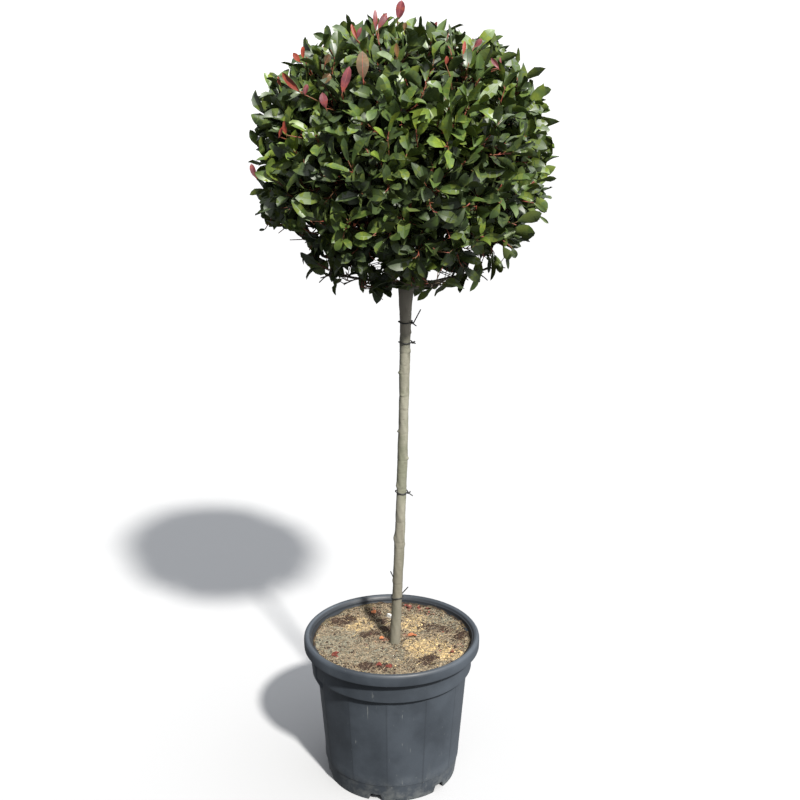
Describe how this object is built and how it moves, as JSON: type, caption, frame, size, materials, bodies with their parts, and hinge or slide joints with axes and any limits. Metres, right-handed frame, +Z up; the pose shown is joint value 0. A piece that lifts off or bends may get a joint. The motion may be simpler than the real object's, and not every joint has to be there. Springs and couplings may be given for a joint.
{
  "type": "standard lollipop topiary",
  "caption": "Clipped round evergreen head with red young shoots on a tall clear stem, planted in a grey fluted nursery pot.",
  "frame": {"origin": "middle of the pot's flat underside, on the surface it stands on", "axes": "+Z up the stem, -Y the front that the picture shows, +X to the right of that view"},
  "size_m": [0.5814, 0.5915, 1.7182],
  "materials": {
    "pot_plastic": "moulded slate grey plastic, dull with a faint sheen, scuffed and dusty",
    "soil": "dry mossy mulch of grey-green, straw and brown bits",
    "bark": "smooth greyish-olive bark with faint rings and pruning scars",
    "foliage": "glossy dark green leaves, red on the young shoots",
    "tie_plastic": "thin black tie, dull"
  },
  "bodies": {
    "root": {"pot": "pot_plastic", "soil": "soil", "trunk": "bark", "bough_1": "bark", "bough_2": "bark", "bough_3": "bark", "bough_4": "bark", "bough_5": "bark", "bough_6": "bark", "bough_7": "bark", "bough_8": "bark", "crown": "foliage", "skirt_spray_1": "foliage", "skirt_spray_2": "foliage", "skirt_spray_3": "foliage", "skirt_spray_4": "foliage", "skirt_spray_5": "foliage", "stem_tie_1": "tie_plastic", "stem_tie_2": "tie_plastic", "stem_tie_3": "tie_plastic", "stem_tie_4": "tie_plastic"}
  },
  "joints": []
}
